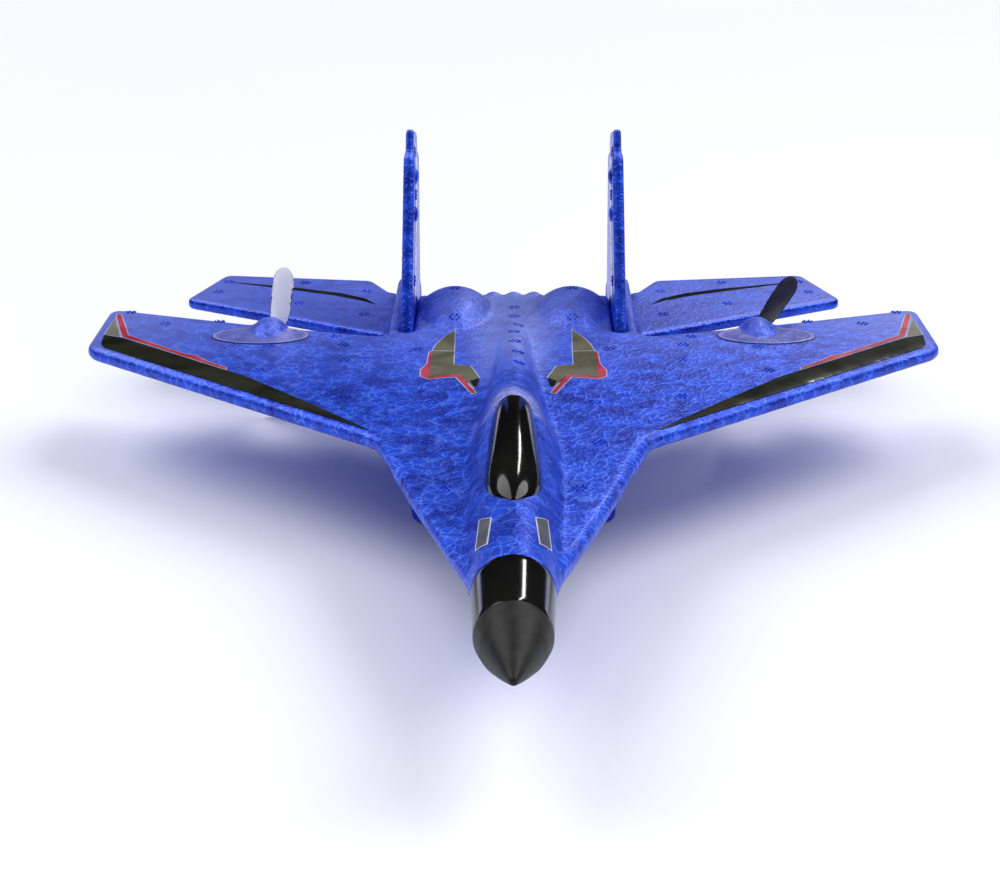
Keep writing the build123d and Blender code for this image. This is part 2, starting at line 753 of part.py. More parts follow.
with BuildPart() as upper_body:
    add(wing_sheet.part)
    add(fuselage.part)
    add(engine_humps.part)
    add(nozzles.part)
    with Locations(*[(step * tail_bump_pitch, deck_rear_y - 1.0, wing_top - 1.6) for step in (-1, 0, 1)]):
        Sphere(tail_bump_radius)
    split(bisect_by=Plane.XY.offset(wing_bottom), keep=Keep.TOP)
    boom_width = boom_outer_x - boom_inner_x
    with BuildSketch(Plane.XY.offset(boom_bottom)):
        with Locations((boom_inner_x + boom_width / 2, (boom_front_y + boom_rear_y) / 2),
                       (-boom_inner_x - boom_width / 2, (boom_front_y + boom_rear_y) / 2)):
            RectangleRounded(boom_width, boom_rear_y - boom_front_y, corner_round)
    extrude(amount=wing_top - edge_round - boom_bottom)
    add(right_pod.part)
    mirror(right_pod.part, about=Plane.YZ)
    # seats and channels
    add(nose_band.part, mode=Mode.SUBTRACT)
    add(canopy_block.part, mode=Mode.SUBTRACT)
    add(wing_spar.part, mode=Mode.SUBTRACT)
    for piece in (right_fin.part, right_tailplane.part, right_groove):
        add(piece, mode=Mode.SUBTRACT)
        mirror(piece, about=Plane.YZ, mode=Mode.SUBTRACT)
    for side in (1, -1):
        with Locations((side * motor_x, (can_front_y - 2.5 + pod_rear_y) / 2, motor_axis_z)):
            Cylinder(motor_radius + mount_wall, pod_rear_y - can_front_y + 2.5, rotation=(90, 0, 0),
                     mode=Mode.SUBTRACT)
save(upper_body.part, "upper_body")


def trunk_section(y, centre_x, half_width, underside, radius):
    top = wing_top + 1.0
    bottom = wing_top + underside
    with BuildSketch(across(y)) as section:
        with Locations((centre_x, (top + bottom) / 2)):
            RectangleRounded(2 * half_width, top - bottom, radius)
    return section.sketch


with BuildPart() as right_trunk:
    loft([trunk_section(*station) for station in trunk_stations])
    # raked intake mouth with a blind recess behind its lips
    lip_top_y = intake_lip_y - intake_rake
    with BuildSketch(Plane.YZ):
        with BuildLine():
            Polyline((lip_top_y - 9, -2), (intake_lip_y, -2), (lip_top_y, wing_bottom), (lip_top_y - 9, wing_bottom),
                     close=True)
        make_face()
    extrude(amount=40, mode=Mode.SUBTRACT)
    front = trunk_stations[0]
    with BuildSketch(Plane.YZ.offset(front[1] - front[2] + intake_wall)):
        with BuildLine():
            Polyline(
                (lip_top_y - 5, intake_wall + 1.5),
                (intake_lip_y + intake_depth, intake_wall + 1.5),
                (lip_top_y + intake_depth, wing_bottom - intake_wall),
                (lip_top_y - 5, wing_bottom - intake_wall),
                close=True,
            )
        make_face()
    extrude(amount=2 * (front[2] - intake_wall), mode=Mode.SUBTRACT)

with BuildPart() as lower_body:
    add(fuselage.part)
    split(bisect_by=Plane.XY.offset(belly_z), keep=Keep.TOP)
    with Locations((0, (board_rear_y + deck_rear_y) / 2 - 10, wing_bottom - centre_slab / 2)):
        Box(2 * 12.0, deck_rear_y - board_rear_y + 16, centre_slab)
    add(engine_humps.part)
    add(nozzles.part)
    add(right_trunk.part)
    mirror(right_trunk.part, about=Plane.YZ)
    split(bisect_by=Plane.XY.offset(wing_bottom), keep=Keep.BOTTOM)
    split(bisect_by=Plane.XY, keep=Keep.TOP)
    # the booms, the nose, and what sits in the belly
    for side in (1, -1):
        with Locations((side * (boom_inner_x + 10), (boom_front_y + boom_rear_y) / 2, boom_bottom)):
            Box(20, boom_rear_y - boom_front_y, 30, mode=Mode.SUBTRACT)
    add(nose_band.part, mode=Mode.SUBTRACT)
    tray_box(tray_half_width, tray_front_y, tray_rear_y, belly_z + tray_height, Mode.SUBTRACT)
    add(battery_socket.part, mode=Mode.SUBTRACT)
    add(power_channel, mode=Mode.SUBTRACT)
    add(right_groove, mode=Mode.SUBTRACT)
    mirror(right_groove, about=Plane.YZ, mode=Mode.SUBTRACT)
    with Locations((0, switch_y, belly_z + (switch_recess + switch_height) / 2)):
        Box(2 * switch_half_width, 2 * switch_half_length, switch_recess + switch_height, mode=Mode.SUBTRACT)
    with Locations((0, board_front_y + board_length / 2, (board_z + wing_bottom) / 2)):
        Box(2 * (board_half_width + board_margin), board_length + 2 * board_margin, wing_bottom - board_z,
            mode=Mode.SUBTRACT)
    with Locations((antenna_x, board_rear_y + antenna_length / 2, board_z + board_thickness / 2)):
        Cylinder(antenna_radius + 0.1, antenna_length + 0.2, rotation=(90, 0, 0), mode=Mode.SUBTRACT)
save(lower_body.part, "lower_body")
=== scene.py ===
import json
import math
import bpy
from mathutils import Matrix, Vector


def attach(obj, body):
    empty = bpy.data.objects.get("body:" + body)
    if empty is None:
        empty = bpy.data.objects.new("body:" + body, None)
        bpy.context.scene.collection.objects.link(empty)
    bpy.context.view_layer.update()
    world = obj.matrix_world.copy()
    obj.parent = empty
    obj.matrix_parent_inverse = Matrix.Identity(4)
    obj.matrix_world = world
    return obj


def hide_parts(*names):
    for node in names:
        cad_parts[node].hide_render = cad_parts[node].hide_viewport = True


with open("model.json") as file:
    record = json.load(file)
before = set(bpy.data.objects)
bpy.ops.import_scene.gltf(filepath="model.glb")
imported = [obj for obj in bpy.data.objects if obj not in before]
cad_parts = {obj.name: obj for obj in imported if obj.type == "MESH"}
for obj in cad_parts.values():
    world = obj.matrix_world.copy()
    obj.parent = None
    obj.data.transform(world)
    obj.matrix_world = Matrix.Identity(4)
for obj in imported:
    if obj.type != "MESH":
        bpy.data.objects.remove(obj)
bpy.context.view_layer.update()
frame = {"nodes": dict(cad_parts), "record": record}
nodes = frame["nodes"]
bodyOf = {node: body for body, held in frame["record"]["behaviour"]["bodies"].items() for node in held}
slotOf = {part["node"]: part["material_slot"] for part in frame["record"]["subparts"]}
bpy.ops.object.select_all(action="DESELECT")
print("frame loaded", len(nodes), "nodes")

mm = 0.001


class Wire:  # a node socket that can stand in a sum
    def __init__(self, paint, socket):
        self.paint = paint
        self.socket = socket

    def sum(self, operation, left, right=0.0):
        return self.paint.node("Math", {"operation": operation}, {0: left, 1: right})

    def __add__(self, other):
        return self.sum("ADD", self, other)

    def __radd__(self, other):
        return self.sum("ADD", other, self)

    def __sub__(self, other):
        return self.sum("SUBTRACT", self, other)

    def __rsub__(self, other):
        return self.sum("SUBTRACT", other, self)

    def __mul__(self, other):
        return self.sum("MULTIPLY", self, other)

    def __rmul__(self, other):
        return self.sum("MULTIPLY", other, self)

    def __truediv__(self, other):
        return self.sum("DIVIDE", self, other)

    def __rtruediv__(self, other):
        return self.sum("DIVIDE", other, self)

    def __pow__(self, other):
        return self.sum("POWER", self, other)

    def over(self, edge, softness):  # 0 below the edge, 1 above it
        return self.paint.node("MapRange", {"interpolation_type": "SMOOTHSTEP"},
                               {"Value": self, "From Min": edge - softness, "From Max": edge + softness})

    def under(self, edge, softness):
        return 1.0 - self.over(edge, softness)


class Paint:  # one finish and its nodes
    def __init__(self, name):
        self.material = bpy.data.materials.new(name)
        self.material.use_nodes = True
        self.tree = self.material.node_tree
        self.tree.nodes.clear()

    def node(self, kind, settings, values, output=0):
        made = self.tree.nodes.new("ShaderNode" + kind)
        for key, value in settings.items():
            if key == "stops":
                while len(made.color_ramp.elements) < len(value):
                    made.color_ramp.elements.new(0.5)
                for element, (position, colour) in zip(made.color_ramp.elements, value):
                    element.position = position
                    element.color = colour
            else:
                setattr(made, key, value)
        for key, value in values.items():
            if isinstance(value, Wire):
                self.tree.links.new(value.socket, made.inputs[key])
            else:
                made.inputs[key].default_value = value
        return Wire(self, made.outputs[output])

    def place(self, stretch=(1.0, 1.0, 1.0)):  # where on the object, in mm
        where = self.node("TexCoord", {}, {}, "Object")
        return self.node("Mapping", {}, {"Vector": where, "Scale": [1000.0 * part for part in stretch]})

    def axis(self, where, name):
        return self.node("SeparateXYZ", {}, {0: where}, name)

    def grain(self, where, size, detail=3.0, distortion=0.0):  # size is in mm
        return self.node("TexNoise", {}, {"Vector": where, "Scale": 1.0 / size, "Detail": detail,
                                          "Distortion": distortion})

    def cells(self, where, size, feature="DISTANCE_TO_EDGE"):
        return self.node("TexVoronoi", {"feature": feature}, {"Vector": where, "Scale": 1.0 / size})

    def stirred(self, where, size, amount):  # pushes a place about, so that lines wander
        swirl = self.node("TexNoise", {}, {"Vector": where, "Scale": 1.0 / size, "Detail": 2.0}, "Color")
        centred = self.node("VectorMath", {"operation": "SUBTRACT"}, {0: swirl, 1: (0.5, 0.5, 0.5)})
        moved = self.node("VectorMath", {"operation": "SCALE"}, {0: centred, "Scale": amount})
        return self.node("VectorMath", {"operation": "ADD"}, {0: where, 1: moved})

    def blend(self, amount, first, second):
        return self.node("Mix", {"data_type": "RGBA"}, {0: amount, 6: first, 7: second}, 2)

    def bump(self, height, strength, distance, under=None):
        values = {"Height": height, "Strength": strength, "Distance": distance * mm}
        if under:
            values["Normal"] = under
        return self.node("Bump", {}, values)

    def finish(self, **values):
        names = {"colour": "Base Color", "rough": "Roughness", "metal": "Metallic", "coat": "Coat Weight",
                 "coatRough": "Coat Roughness", "normal": "Normal", "glow": "Subsurface Weight",
                 "shine": "Specular IOR Level"}
        shader = self.node("BsdfPrincipled", {}, {names[key]: value for key, value in values.items()})
        output = self.tree.nodes.new("ShaderNodeOutputMaterial")
        self.tree.links.new(shader.socket, output.inputs["Surface"])
        return self.material


def tint(red, green, blue):
    return (red, green, blue, 1.0)


# Metallised film over foam: crackled, glossy, bluer where it lies smooth and pale in the drawn folds behind the
# canopy; its top is painted paler towards the rear, the tips and along the spine, a painted reflection of the bright
# backdrop
filmLook = {"deep": tint(0.002, 0.017, 0.35), "bright": tint(0.012, 0.080, 0.76),
            "web": tint(0.17, 0.32, 1.00), "pale": tint(0.17, 0.20, 0.58), "spine": tint(0.26, 0.31, 0.72),
            "webSize": 3.4, "wrinkle": 2.1, "rough": 0.30, "coat": 0.06}


def filmPaint(name, look):
    paint = Paint(name)
    where = paint.place()
    wander = paint.stirred(where, 6.0, 3.2)
    broad = paint.grain(where, 34.0, 3.0, 0.6)
    patches = paint.grain(where, 7.5, 4.0, 0.8)
    edges = paint.cells(wander, look["webSize"])
    fineEdges = paint.cells(paint.stirred(where, 2.5, 1.6), look["webSize"] * 0.45)
    web = edges.under(0.05, 0.05) * patches.over(0.47, 0.10)
    fineWeb = fineEdges.under(0.06, 0.05) * patches.under(0.50, 0.12)
    up = paint.axis(paint.node("NewGeometry", {}, {}, "Normal"), "Z")
    along = paint.axis(where, "Y")
    across = paint.node("Math", {"operation": "ABSOLUTE"}, {0: paint.axis(where, "X")})
    rear = along.over(62.0, 60.0) * up.over(0.80, 0.18)  # painted reflection: up-facing film towards the rear and the tips is painted paler, standing in for the backdrop's grazing reflection; the rear mask also makes it rougher and less metallic
    tipSheen = across.over(112.0, 30.0) * up.over(0.80, 0.18)
    # painted reflection: up-facing film along the rear spine is painted paler lavender
    spine = across.under(11.0, 7.0) * along.over(28.0, 26.0) * up.over(0.55, 0.30)
    behindCanopy = across.under(9.0, 5.0) * along.over(-31.0, 3.0) * along.under(-13.0, 7.0) * up.over(0.55, 0.2)
    folds = paint.node("TexWave", {"bands_direction": "Y"},
                       {"Vector": wander, "Scale": 0.16, "Distortion": 5.0, "Detail": 3.0}, "Fac")
    colour = paint.blend(patches.over(0.5, 0.16), look["deep"], look["bright"])
    colour = paint.blend(broad.over(0.52, 0.14) * 0.45, colour, look["bright"])
    # painted reflection: paler lavender on top towards the rear and the tips
    colour = paint.blend((rear * 0.55 + tipSheen * 0.35) * (0.7 + 0.6 * broad), colour, look["pale"])
    # painted reflection: paler lavender along the top of the rear spine
    colour = paint.blend(spine * (0.35 + 0.5 * patches), colour, look["spine"])
    colour = paint.blend(web * 0.42 + fineWeb * 0.16, colour, look["web"])
    colour = paint.blend(behindCanopy * folds.over(0.45, 0.3) * 0.75, colour, tint(0.62, 0.62, 0.86))
    crumple = paint.bump(paint.grain(wander, look["wrinkle"], 5.0, 1.2), 0.55, 0.34)
    ridges = paint.bump(edges.under(0.11, 0.11) + fineEdges.under(0.12, 0.10) * 0.5, 0.5, 0.16, crumple)
    drawn = paint.bump(folds * behindCanopy, 0.9, 0.8, ridges)
    rough = look["rough"] + 0.16 * patches + 0.10 * rear
    return paint.finish(colour=colour, rough=rough, metal=0.45 - 0.18 * rear, coat=look["coat"],
                        coatRough=0.14, shine=0.28, normal=drawn)


def plasticPaint(name, colour, worn, rough=0.4, size=1.2, depth=0.03, coat=0.0, glow=0.0, shine=0.5):
    paint = Paint(name)
    where = paint.place()
    speckle = paint.grain(where, size, 5.0)
    cloud = paint.grain(where, size * 9.0, 3.0)
    shade = paint.blend(cloud.over(0.5, 0.2), colour, worn)
    return paint.finish(colour=shade, rough=rough + 0.12 * speckle, coat=coat, glow=glow, shine=shine,
                        normal=paint.bump(speckle, 0.45, depth))


def metalPaint(name, colour, dull, rough=0.25, drag=(1.0, 0.05, 1.0)):
    paint = Paint(name)
    brushed = paint.grain(paint.place(drag), 0.12, 4.0)
    cloud = paint.grain(paint.place(), 3.0, 3.0)
    return paint.finish(colour=paint.blend(cloud.over(0.55, 0.2) * 0.6, colour, dull),
                        rough=rough + 0.18 * brushed, metal=1.0, normal=paint.bump(brushed, 0.25, 0.01))


def coilPaint(name):
    paint = Paint(name)
    turns = paint.node("TexWave", {"bands_direction": "DIAGONAL"},
                       {"Vector": paint.place(), "Scale": 1.6, "Distortion": 0.4}, "Fac")
    colour = paint.blend(turns, tint(0.30, 0.09, 0.03), tint(0.78, 0.33, 0.14))
    return paint.finish(colour=colour, rough=0.28 + 0.2 * turns, metal=0.9, coat=0.4,
                        normal=paint.bump(turns, 0.6, 0.08))


def boardPaint(name):
    paint = Paint(name)
    where = paint.place()
    tracks = paint.cells(where, 2.2).under(0.07, 0.03)
    pads = paint.cells(where, 1.9, "F1").under(0.20, 0.03)
    colour = paint.blend(tracks * 0.8, tint(0.010, 0.11, 0.045), tint(0.03, 0.26, 0.11))
    colour = paint.blend(pads, colour, tint(0.75, 0.55, 0.22))
    return paint.finish(colour=colour, rough=0.34 - 0.1 * pads, metal=pads * 0.9, coat=0.3,
                        normal=paint.bump(tracks + pads, 0.4, 0.04))


def cellPaint(name):
    paint = Paint(name)
    where = paint.place()
    creases = paint.grain(paint.place((1.0, 0.4, 1.0)), 2.4, 5.0, 1.0)
    seam = paint.node("Math", {"operation": "ABSOLUTE"}, {0: paint.axis(where, "X")}).under(0.6, 0.15)
    colour = paint.blend(creases.over(0.5, 0.2), tint(0.50, 0.53, 0.60), tint(0.74, 0.77, 0.82))
    colour = paint.blend(seam * 0.6, colour, tint(0.25, 0.27, 0.32))
    return paint.finish(colour=colour, rough=0.28 + 0.16 * creases, metal=0.6,
                        normal=paint.bump(creases, 0.7, 0.15))


def wirePaint(name, first, second, size):
    paint = Paint(name)
    twist = paint.node("TexWave", {"bands_direction": "DIAGONAL"},
                       {"Vector": paint.place(), "Scale": 1.0 / size}, "Fac")
    scuff = paint.grain(paint.place(), 0.8, 4.0)
    return paint.finish(colour=paint.blend(twist.over(0.5, 0.06), first, second),
                        rough=0.38 + 0.14 * scuff, coat=0.15, normal=paint.bump(scuff, 0.3, 0.02))


def clearPaint(name, centre, half):  # clear film: its rim catches the light
    paint = Paint(name)
    where = paint.place()
    across = (paint.node("Math", {"operation": "ABSOLUTE"}, {0: paint.axis(where, "X")}) - centre[0]) / half[0]
    along = (paint.axis(where, "Y") - centre[1]) / half[1]
    reach = (across * across + along * along) ** 0.5
    haze = paint.grain(paint.stirred(where, 5.0, 3.0), 3.0, 4.0, 1.0)
    rim = reach.over(0.90, 0.03) * reach.under(0.985, 0.02)
    colour = paint.blend(haze.over(0.5, 0.2), tint(0.085, 0.105, 0.40), tint(0.17, 0.18, 0.50))
    colour = paint.blend(rim * 0.55, colour, tint(0.34, 0.33, 0.62))
    colour = paint.blend(reach.over(0.985, 0.01), colour, tint(0.05, 0.05, 0.18))
    return paint.finish(colour=colour, rough=0.16 + 0.18 * haze, coat=0.3, coatRough=0.08,
                        normal=paint.bump(haze + rim, 0.5, 0.12))


def stickerPaint(name, colour, shade, rough=0.16):  # printed vinyl, very slightly rippled
    paint = Paint(name)
    where = paint.place()
    ripple = paint.grain(paint.place((0.5, 1.0, 1.0)), 7.0, 2.0)
    fade = paint.grain(where, 14.0, 4.0, 0.5)
    return paint.finish(colour=paint.blend(fade.over(0.5, 0.18), colour, shade),
                        rough=rough + 0.08 * fade, shine=0.3, normal=paint.bump(ripple, 0.35, 0.10))


finishes = {
    "foam": filmPaint("blue film", filmLook),
    "fin_foam": filmPaint("blue tail film",
                          {**filmLook, "webSize": 3.0, "web": tint(0.09, 0.19, 0.90), "rough": 0.22}),
    "nose_rubber": plasticPaint("matt black nose", tint(0.009, 0.009, 0.009), tint(0.017, 0.017, 0.015), 0.44, 0.35,
                                0.05, shine=0.22),
    "gloss_black": plasticPaint("gloss black shell", tint(0.004, 0.004, 0.004), tint(0.008, 0.008, 0.007), 0.05, 2.5,
                                0.012, shine=0.30),
    "carbon_rod": plasticPaint("carbon rod", tint(0.02, 0.02, 0.022), tint(0.05, 0.05, 0.055), 0.3, 0.3, 0.02, 0.4),
    "clear_film": clearPaint("clear patch", (82.3, 71.6), (16.0, 9.0)),
    "black_plastic": plasticPaint("black moulded plastic", tint(0.018, 0.018, 0.02), tint(0.032, 0.032, 0.034),
                                  0.36, 0.6, 0.02, 0.2),
    "white_plastic": plasticPaint("white moulded plastic", tint(0.93, 0.94, 0.93), tint(0.97, 0.97, 0.97),
                                  0.28, 1.0, 0.015, 0.2, 0.5),
    "motor_steel": metalPaint("motor can steel", tint(0.60, 0.60, 0.61), tint(0.42, 0.42, 0.44)),
    "shaft_steel": metalPaint("ground steel", tint(0.70, 0.70, 0.71), tint(0.55, 0.55, 0.57), 0.14),
    "magnet": metalPaint("magnet", tint(0.22, 0.22, 0.24), tint(0.14, 0.14, 0.15), 0.4),
    "copper_coil": coilPaint("wound copper"),
    "brass": metalPaint("brass", tint(0.75, 0.52, 0.20), tint(0.50, 0.33, 0.12)),
    "cell_wrap": cellPaint("battery wrap"),
    "connector_white": plasticPaint("white connector", tint(0.72, 0.70, 0.64), tint(0.80, 0.79, 0.74),
                                    0.38, 0.5, 0.02),
    "circuit_board": boardPaint("circuit board"),
    "chip_black": plasticPaint("chip", tint(0.02, 0.02, 0.022), tint(0.04, 0.04, 0.042), 0.5, 0.3, 0.02),
    "wire_cover": wirePaint("red and black wire", tint(0.42, 0.015, 0.012), tint(0.012, 0.012, 0.012), 1.5),
    "antenna_cover": wirePaint("grey wire", tint(0.05, 0.05, 0.055), tint(0.09, 0.09, 0.095), 4.0),
}
print("finishes made", len(finishes))


def chooseOnly(*pieces):
    bpy.ops.object.select_all(action="DESELECT")
    for piece in pieces:
        piece.select_set(True)
    bpy.context.view_layer.objects.active = pieces[0]


def edit(piece, *steps):  # each step is an edit-mode operator and its settings
    chooseOnly(piece)
    bpy.ops.object.mode_set(mode="EDIT")
    bpy.ops.mesh.select_all(action="SELECT")
    for operator, settings in steps:
        operator(**settings)
    bpy.ops.object.mode_set(mode="OBJECT")


def modify(piece, kind, **settings):
    made = piece.modifiers.new(kind.title(), kind)
    for key, value in settings.items():
        setattr(made, key, value)
    chooseOnly(piece)
    bpy.ops.object.modifier_apply(modifier=made.name)


def merged(name, pieces):
    chooseOnly(*pieces)
    if len(pieces) > 1:
        bpy.ops.object.join()
    pieces[0].name = name
    bpy.ops.object.transform_apply(location=True, rotation=True, scale=True)
    return pieces[0]


def copyOf(name, *nodeNames):  # a copy of CAD nodes, merged into one clean mesh
    copies = []
    for nodeName in nodeNames:
        piece = bpy.data.objects.new(name, nodes[nodeName].data.copy())
        bpy.context.scene.collection.objects.link(piece)
        copies.append(piece)
    piece = merged(name, copies)
    piece.data.materials.clear()
    edit(piece, (bpy.ops.mesh.remove_doubles, {"threshold": 2e-6}))
    return piece


def settle(piece, body, slotName, material, *replaced):
    piece.data.materials.clear()
    piece.data.materials.append(material)
    if replaced:
        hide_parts(*replaced)
    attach(piece, body)
    return piece


# Carried-over nodes get the finish of their slot
for nodeName, node in nodes.items():
    node.data.materials.clear()
    node.data.materials.append(finishes[slotOf[nodeName]])

# Foam pieces: the film rounds every edge, so each is skinned and smoothed. It runs on under the canopy's edge.
canopyBed = {"inset": 0.3, "drop": 1.3}
skins = {
    "foam_body": {"nodes": ["upper_body", "lower_body"], "voxel": 1.2, "smooth": 7},
    "foam_fin_left": {"nodes": ["left_fin"], "voxel": 0.8, "smooth": 6},
    "foam_fin_right": {"nodes": ["right_fin"], "voxel": 0.8, "smooth": 6},
    "foam_tailplane_left": {"nodes": ["left_tailplane"], "voxel": 0.8, "smooth": 6},
    "foam_tailplane_right": {"nodes": ["right_tailplane"], "voxel": 0.8, "smooth": 6},
}
skinned = {}
for name, sizes in skins.items():
    skin = copyOf(name, *sizes["nodes"])
    if name == "foam_body":
        under = copyOf("under_canopy", "canopy")
        edit(under, (bpy.ops.transform.shrink_fatten, {"value": -canopyBed["inset"] * mm}),
             (bpy.ops.transform.translate, {"value": (0.0, 0.0, -canopyBed["drop"] * mm)}))
        skin = merged(name, [skin, under])
    modify(skin, "REMESH", mode="VOXEL", voxel_size=sizes["voxel"] * mm)
    modify(skin, "SMOOTH", factor=0.5, iterations=sizes["smooth"])
    chooseOnly(skin)
    bpy.ops.object.shade_smooth()
    slotName = slotOf[sizes["nodes"][0]]
    skinned[name] = settle(skin, "airframe", slotName, finishes[slotName], *sizes["nodes"])
    print("skin", name, len(skin.data.polygons), "faces")

# Moulded shells and propellers: same shapes, shaded smooth with softened edges
softEdges = {"nose_cone": 0.15, "nose_band": 0.12, "canopy": 0.12, "left_propeller": 0.0, "right_propeller": 0.0,
             "battery_hatch": 0.2, "power_switch_knob": 0.12}
for nodeName, radius in softEdges.items():
    shell = copyOf("smooth_" + nodeName, nodeName)
    if radius:
        modify(shell, "BEVEL", width=radius * mm, segments=2, limit_method="ANGLE", angle_limit=math.radians(40.0))
    chooseOnly(shell)
    bpy.ops.object.shade_smooth_by_angle(angle=math.radians(32.0))
    settle(shell, bodyOf[nodeName], slotOf[nodeName], finishes[slotOf[nodeName]], nodeName)
print("shells smoothed", len(softEdges))


def surfaceAt(skin, start, towards):  # where a ray meets the skin, in metres
    hit, point, normal, _ = skin.ray_cast(Vector(start) * mm, Vector(towards))
    return (point, normal) if hit else (None, None)


# Moulding vents: little studs in clusters all over the foam
vents = {"radius": 0.33, "height": 0.50, "ring": 1.5, "sunk": 0.5, "inRing": 6, "edge": 0.12,
         "wing": [(129.5, 99.0), (115.8, 85.5), (97.9, 88.0), (78.4, 60.1), (57.8, 71.2), (54.6, 62.0),
                  (53.0, 46.5), (50.2, 11.3), (78.8, 36.0), (30.5, 58.0), (24.0, 6.0), (23.6, -28.0), (17.5, -63.0)],
         "tail": [(104.5, 158.0), (106.5, 144.5), (76.3, 157.0), (53.0, 145.5), (52.0, 116.5), (75.8, 130.0)],
         "hump": [(20.0, 108.0), (19.5, 84.0)],
         "fin": [(122.0, 87.0), (112.0, 74.5), (94.0, 49.5)],
         "spine": [(0.2, 104.8), (0.2, 94.0), (1.6, 81.2), (0.2, 68.8), (0.5, 54.8), (1.4, 40.3), (1.7, 25.4)]}


def ventCluster():
    pins = []
    for index in range(vents["inRing"] + 1):  # the last one stands in the middle
        angle = index * 2.0 * math.pi / vents["inRing"]
        reach = 0.0 if index == vents["inRing"] else vents["ring"]
        bpy.ops.mesh.primitive_cylinder_add(vertices=7, radius=vents["radius"] * mm,
                                            depth=(vents["height"] + vents["sunk"]) * mm,
                                            location=(reach * mm * math.cos(angle), reach * mm * math.sin(angle),
                                                      (vents["height"] - vents["sunk"]) / 2.0 * mm))
        pin = bpy.context.object
        modify(pin, "BEVEL", width=vents["edge"] * mm, segments=1, limit_method="ANGLE",
               angle_limit=math.radians(60.0))
        pins.append(pin)
    return merged("vent", pins)


def scatterVents(name, skin, rays, slotName):
    pattern = ventCluster()
    made = []
    for start, towards in rays:
        point, normal = surfaceAt(skin, start, towards)
        if point is None:
            continue
        stud = pattern.copy()
        stud.data = pattern.data.copy()
        bpy.context.scene.collection.objects.link(stud)
        stud.location = point
        stud.rotation_mode = "QUATERNION"
        stud.rotation_quaternion = Vector((0.0, 0.0, 1.0)).rotation_difference(normal)
        made.append(stud)
    bpy.data.objects.remove(pattern)
    group = merged(name, made)
    bpy.ops.object.shade_smooth_by_angle(angle=math.radians(40.0))
    print("vents", name, len(made), "clusters")
    return settle(group, "airframe", slotName, finishes[slotName])


bothSides = lambda places: [(side * x, y) for x, y in places for side in (-1.0, 1.0)]
fromAbove = lambda places: [((x, y, 120.0), (0.0, 0.0, -1.0)) for x, y in places]
scatterVents("vent_studs_body", skinned["foam_body"],
             fromAbove(bothSides(vents["wing"]) + bothSides(vents["hump"]) + vents["spine"]), "foam")
finLumps = {"radius": 3.0, "proud": 1.3, "deep": 0.7, "places": [(114.9, 80.0), (106.7, 69.0)]}
for side, name in ((-1.0, "left"), (1.0, "right")):
    scatterVents("vent_studs_tail_" + name, skinned["foam_tailplane_" + name],
                 fromAbove([(side * x, y) for x, y in vents["tail"]]), "fin_foam")
    fromInside = [((0.0, y, z), (side, 0.0, 0.0)) for y, z in vents["fin"]]
    scatterVents("vent_studs_fin_" + name, skinned["foam_fin_" + name], fromInside, "fin_foam")
    lumps = []
    for y, z in finLumps["places"]:
        point, normal = surfaceAt(skinned["foam_fin_" + name], (0.0, y, z), (side, 0.0, 0.0))
        flatness = (finLumps["proud"] + finLumps["deep"]) / finLumps["radius"]
        bpy.ops.mesh.primitive_uv_sphere_add(segments=28, ring_count=18, radius=finLumps["radius"] * mm,
                                             location=point + Vector((side * finLumps["deep"] * mm, 0.0, 0.0)),
                                             scale=(flatness, 1.0, 1.0))
        lumps.append(bpy.context.object)
    lump = merged("fin_lumps_" + name, lumps)
    bpy.ops.object.shade_smooth()
    settle(lump, "airframe", "fin_foam", finishes["fin_foam"])


# Stickers: thin films cut to an outline and laid on the skin
def widened(outline, amount):  # the outline pushed outwards by an amount
    area = sum(a[0] * b[1] - b[0] * a[1] for a, b in zip(outline, outline[1:] + outline[:1]))
    turn = 1.0 if area > 0 else -1.0
    result = []
    for index, here in enumerate(outline):
        before = Vector(outline[index - 1])
        after = Vector(outline[(index + 1) % len(outline)])
        first = (Vector(here) - before).normalized()
        second = (after - Vector(here)).normalized()
        normals = [Vector((edge.y, -edge.x)) * turn for edge in (first, second)]
        mitre = (normals[0] + normals[1]).normalized()
        result.append(tuple(Vector(here) + mitre * amount / max(0.45, mitre.dot(normals[0]))))
    return result


